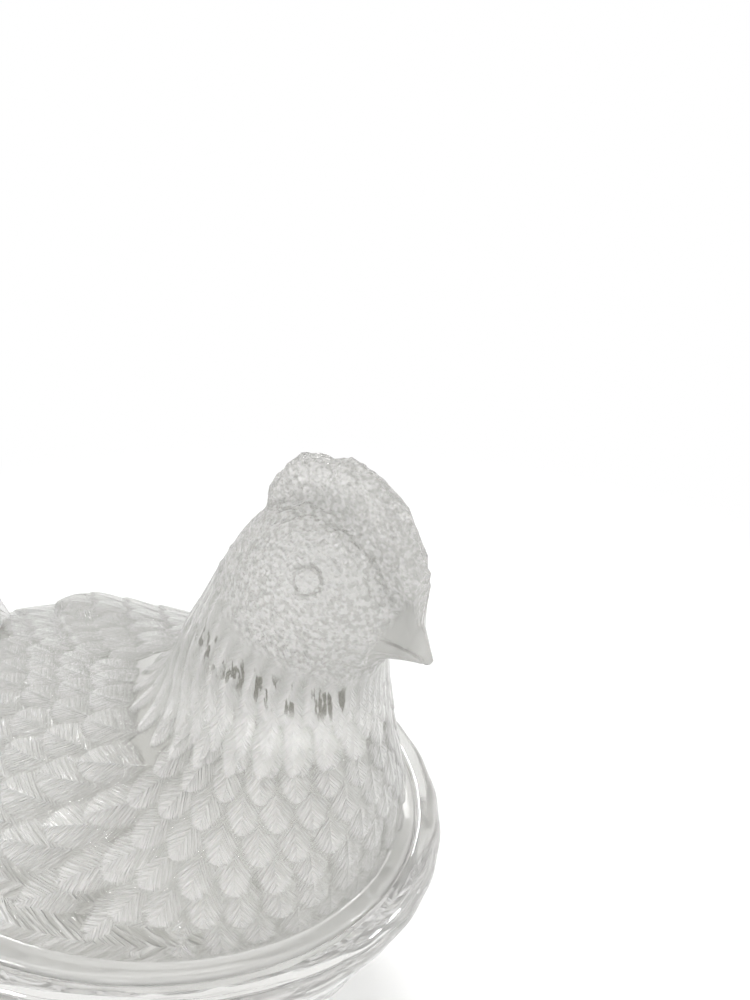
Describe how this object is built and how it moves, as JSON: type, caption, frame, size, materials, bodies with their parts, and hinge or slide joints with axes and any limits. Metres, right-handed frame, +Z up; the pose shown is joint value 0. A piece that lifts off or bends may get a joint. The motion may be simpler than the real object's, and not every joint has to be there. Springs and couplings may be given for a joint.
{
  "type": "covered candy dish",
  "caption": "Pressed glass covered candy dish: an oval footed dish whose lift-off lid is a nesting hen with comb, bill, folded wings and upright tail.",
  "frame": {"origin": "centre of the resting face of the foot, under the middle of the whole object's box", "axes": "+X towards the hen's bill, along the long axis of the oval; +Y towards the hen's left side; +Z up"},
  "size_m": [0.1765, 0.127, 0.1459],
  "materials": {
    "dish_glass": "clear pressed glass, fire-polished, faint grey-green where it is thick",
    "lid_glass": "clear pressed glass with feather relief, finely stippled and frosted on the head"
  },
  "bodies": {
    "dish": {"nest_dish": "dish_glass"},
    "lid": {"hen_lid": "lid_glass"}
  },
  "joints": [
    {"name": "lid_lift", "type": "slide", "parent": "dish", "child": "lid", "axis": [0, 0, 1], "range_m": [0, 0.12]}
  ]
}
